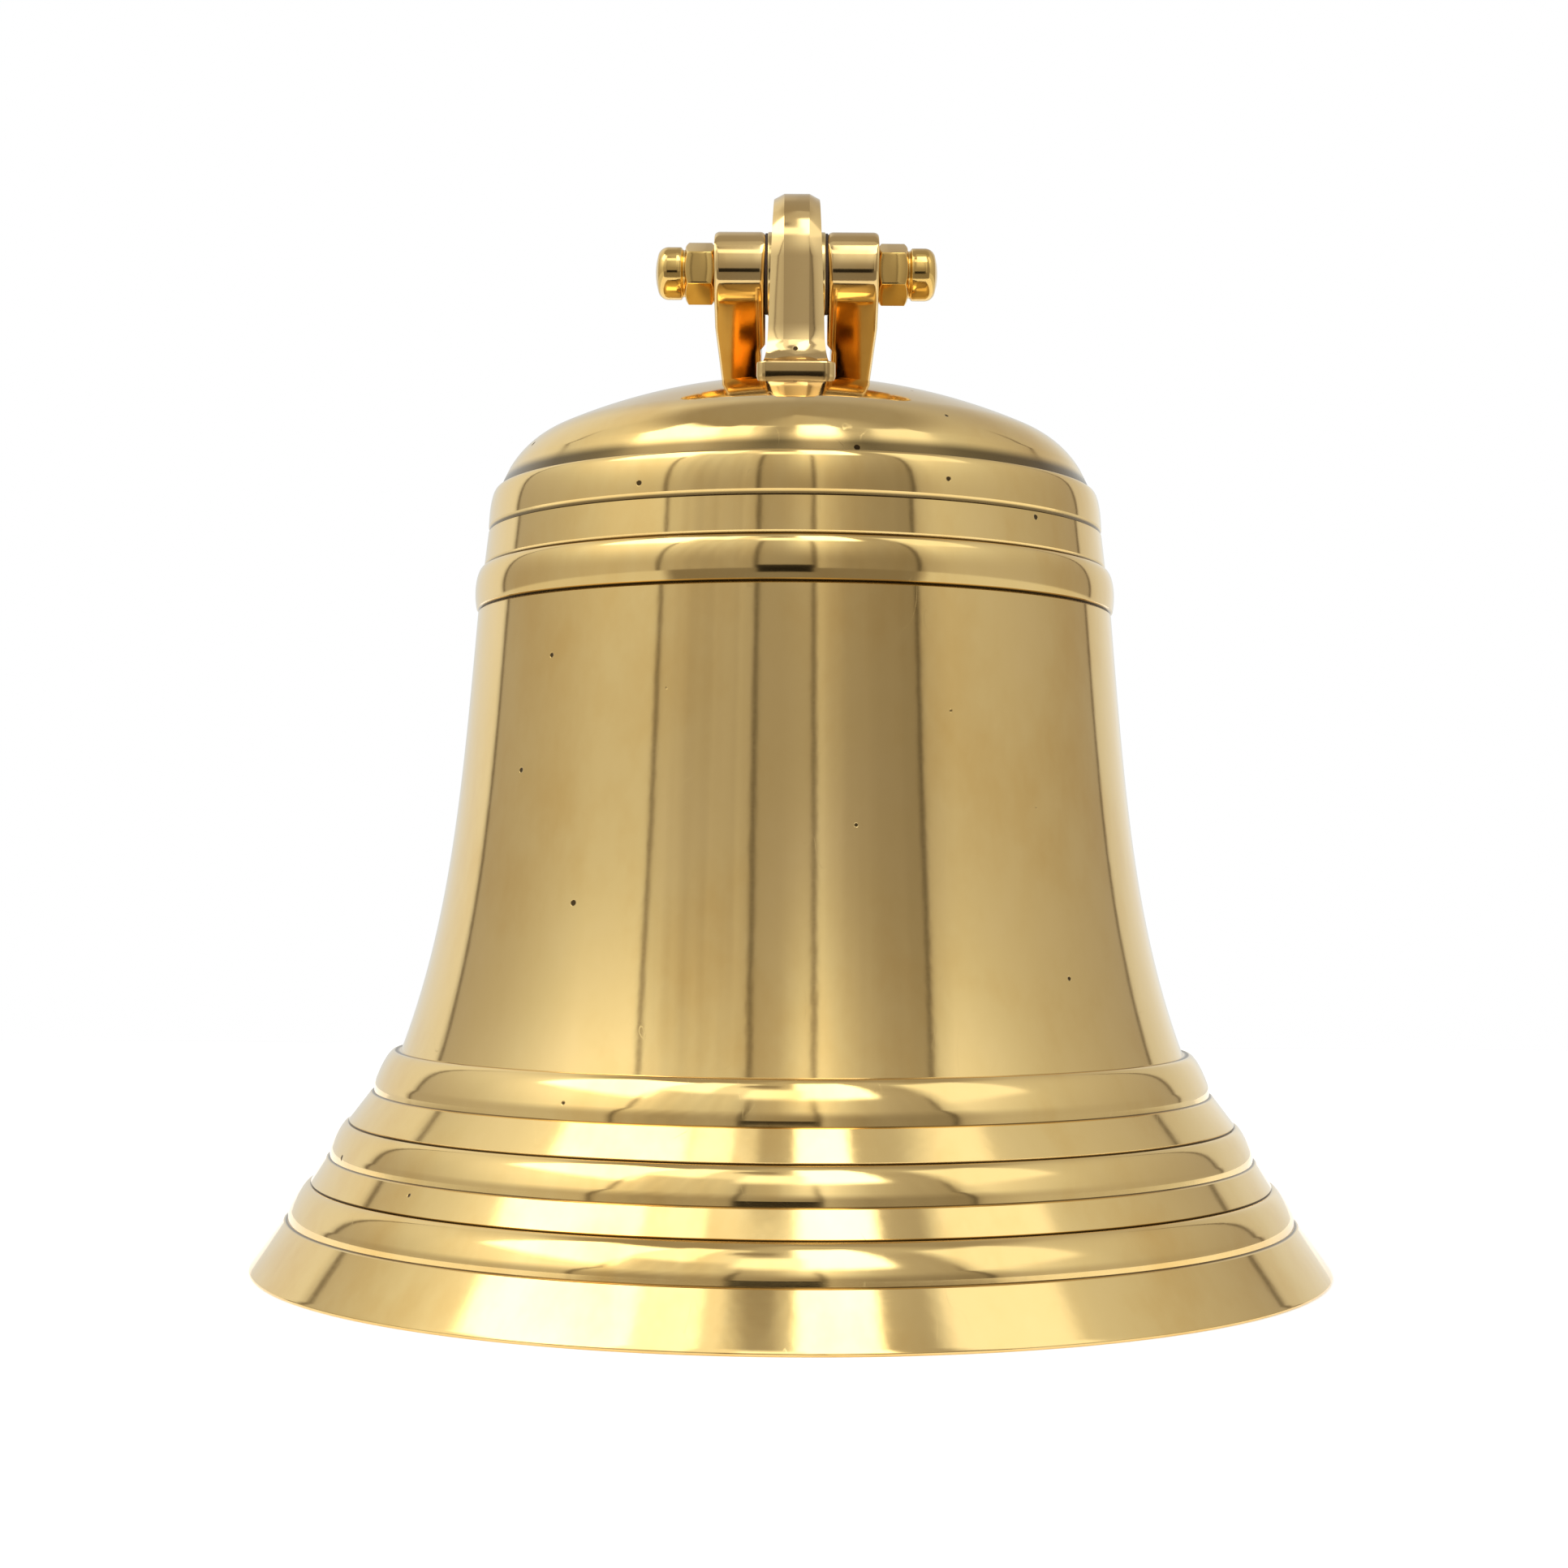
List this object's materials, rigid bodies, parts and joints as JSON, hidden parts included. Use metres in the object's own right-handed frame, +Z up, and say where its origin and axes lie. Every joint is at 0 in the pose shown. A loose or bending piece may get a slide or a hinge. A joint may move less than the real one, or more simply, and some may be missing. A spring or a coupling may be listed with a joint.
{
  "type": "ship bell",
  "caption": "Ship bell with domed head, beaded skirt, bolted crown loop, hanging shackle on a pivot stud and a swinging clapper.",
  "frame": {"origin": "centre of the lip's flat resting face, on the bell's axis", "axes": "+Z up along the bell's axis, X along the pivot stud and the clapper pin, +Y towards the side on which the shackle lies"},
  "size_m": [0.2539, 0.254, 0.2559],
  "materials": {
    "polished_brass": "mirror polished, fine polishing lines",
    "turned_brass": "machined, lightly polished",
    "cast_brass": "as cast, linished",
    "dark_fibre": "matt vulcanised fibre"
  },
  "bodies": {
    "bell": {"bell_body": "polished_brass", "crown_loop": "polished_brass", "crown_stud": "turned_brass", "head_gasket": "dark_fibre", "head_washer": "turned_brass", "crown_nut": "turned_brass", "lock_nut": "turned_brass", "clapper_hanger": "cast_brass", "clapper_pin": "turned_brass", "pin_washer": "turned_brass", "split_pin": "turned_brass"},
    "hanger": {"hanging_shackle": "polished_brass", "pivot_stud": "turned_brass", "acorn_nut_left": "polished_brass", "acorn_nut_right": "polished_brass", "pivot_sleeve": "turned_brass", "side_washer_left": "dark_fibre", "side_washer_right": "dark_fibre"},
    "clapper": {"clapper_eye": "cast_brass", "rod_nut": "turned_brass", "clapper_rod": "turned_brass", "clapper_ball": "cast_brass", "clapper_tail": "cast_brass"}
  },
  "joints": [
    {"name": "shackle_swing", "type": "hinge", "parent": "bell", "child": "hanger", "pos_m": [0, 0, 0.2369], "axis": [1, 0, 0], "range_deg": [0, 246.8]},
    {"name": "clapper_swing", "type": "hinge", "parent": "bell", "child": "clapper", "pos_m": [0, 0, 0.1561], "axis": [1, 0, 0], "range_deg": [-32, 32]}
  ]
}
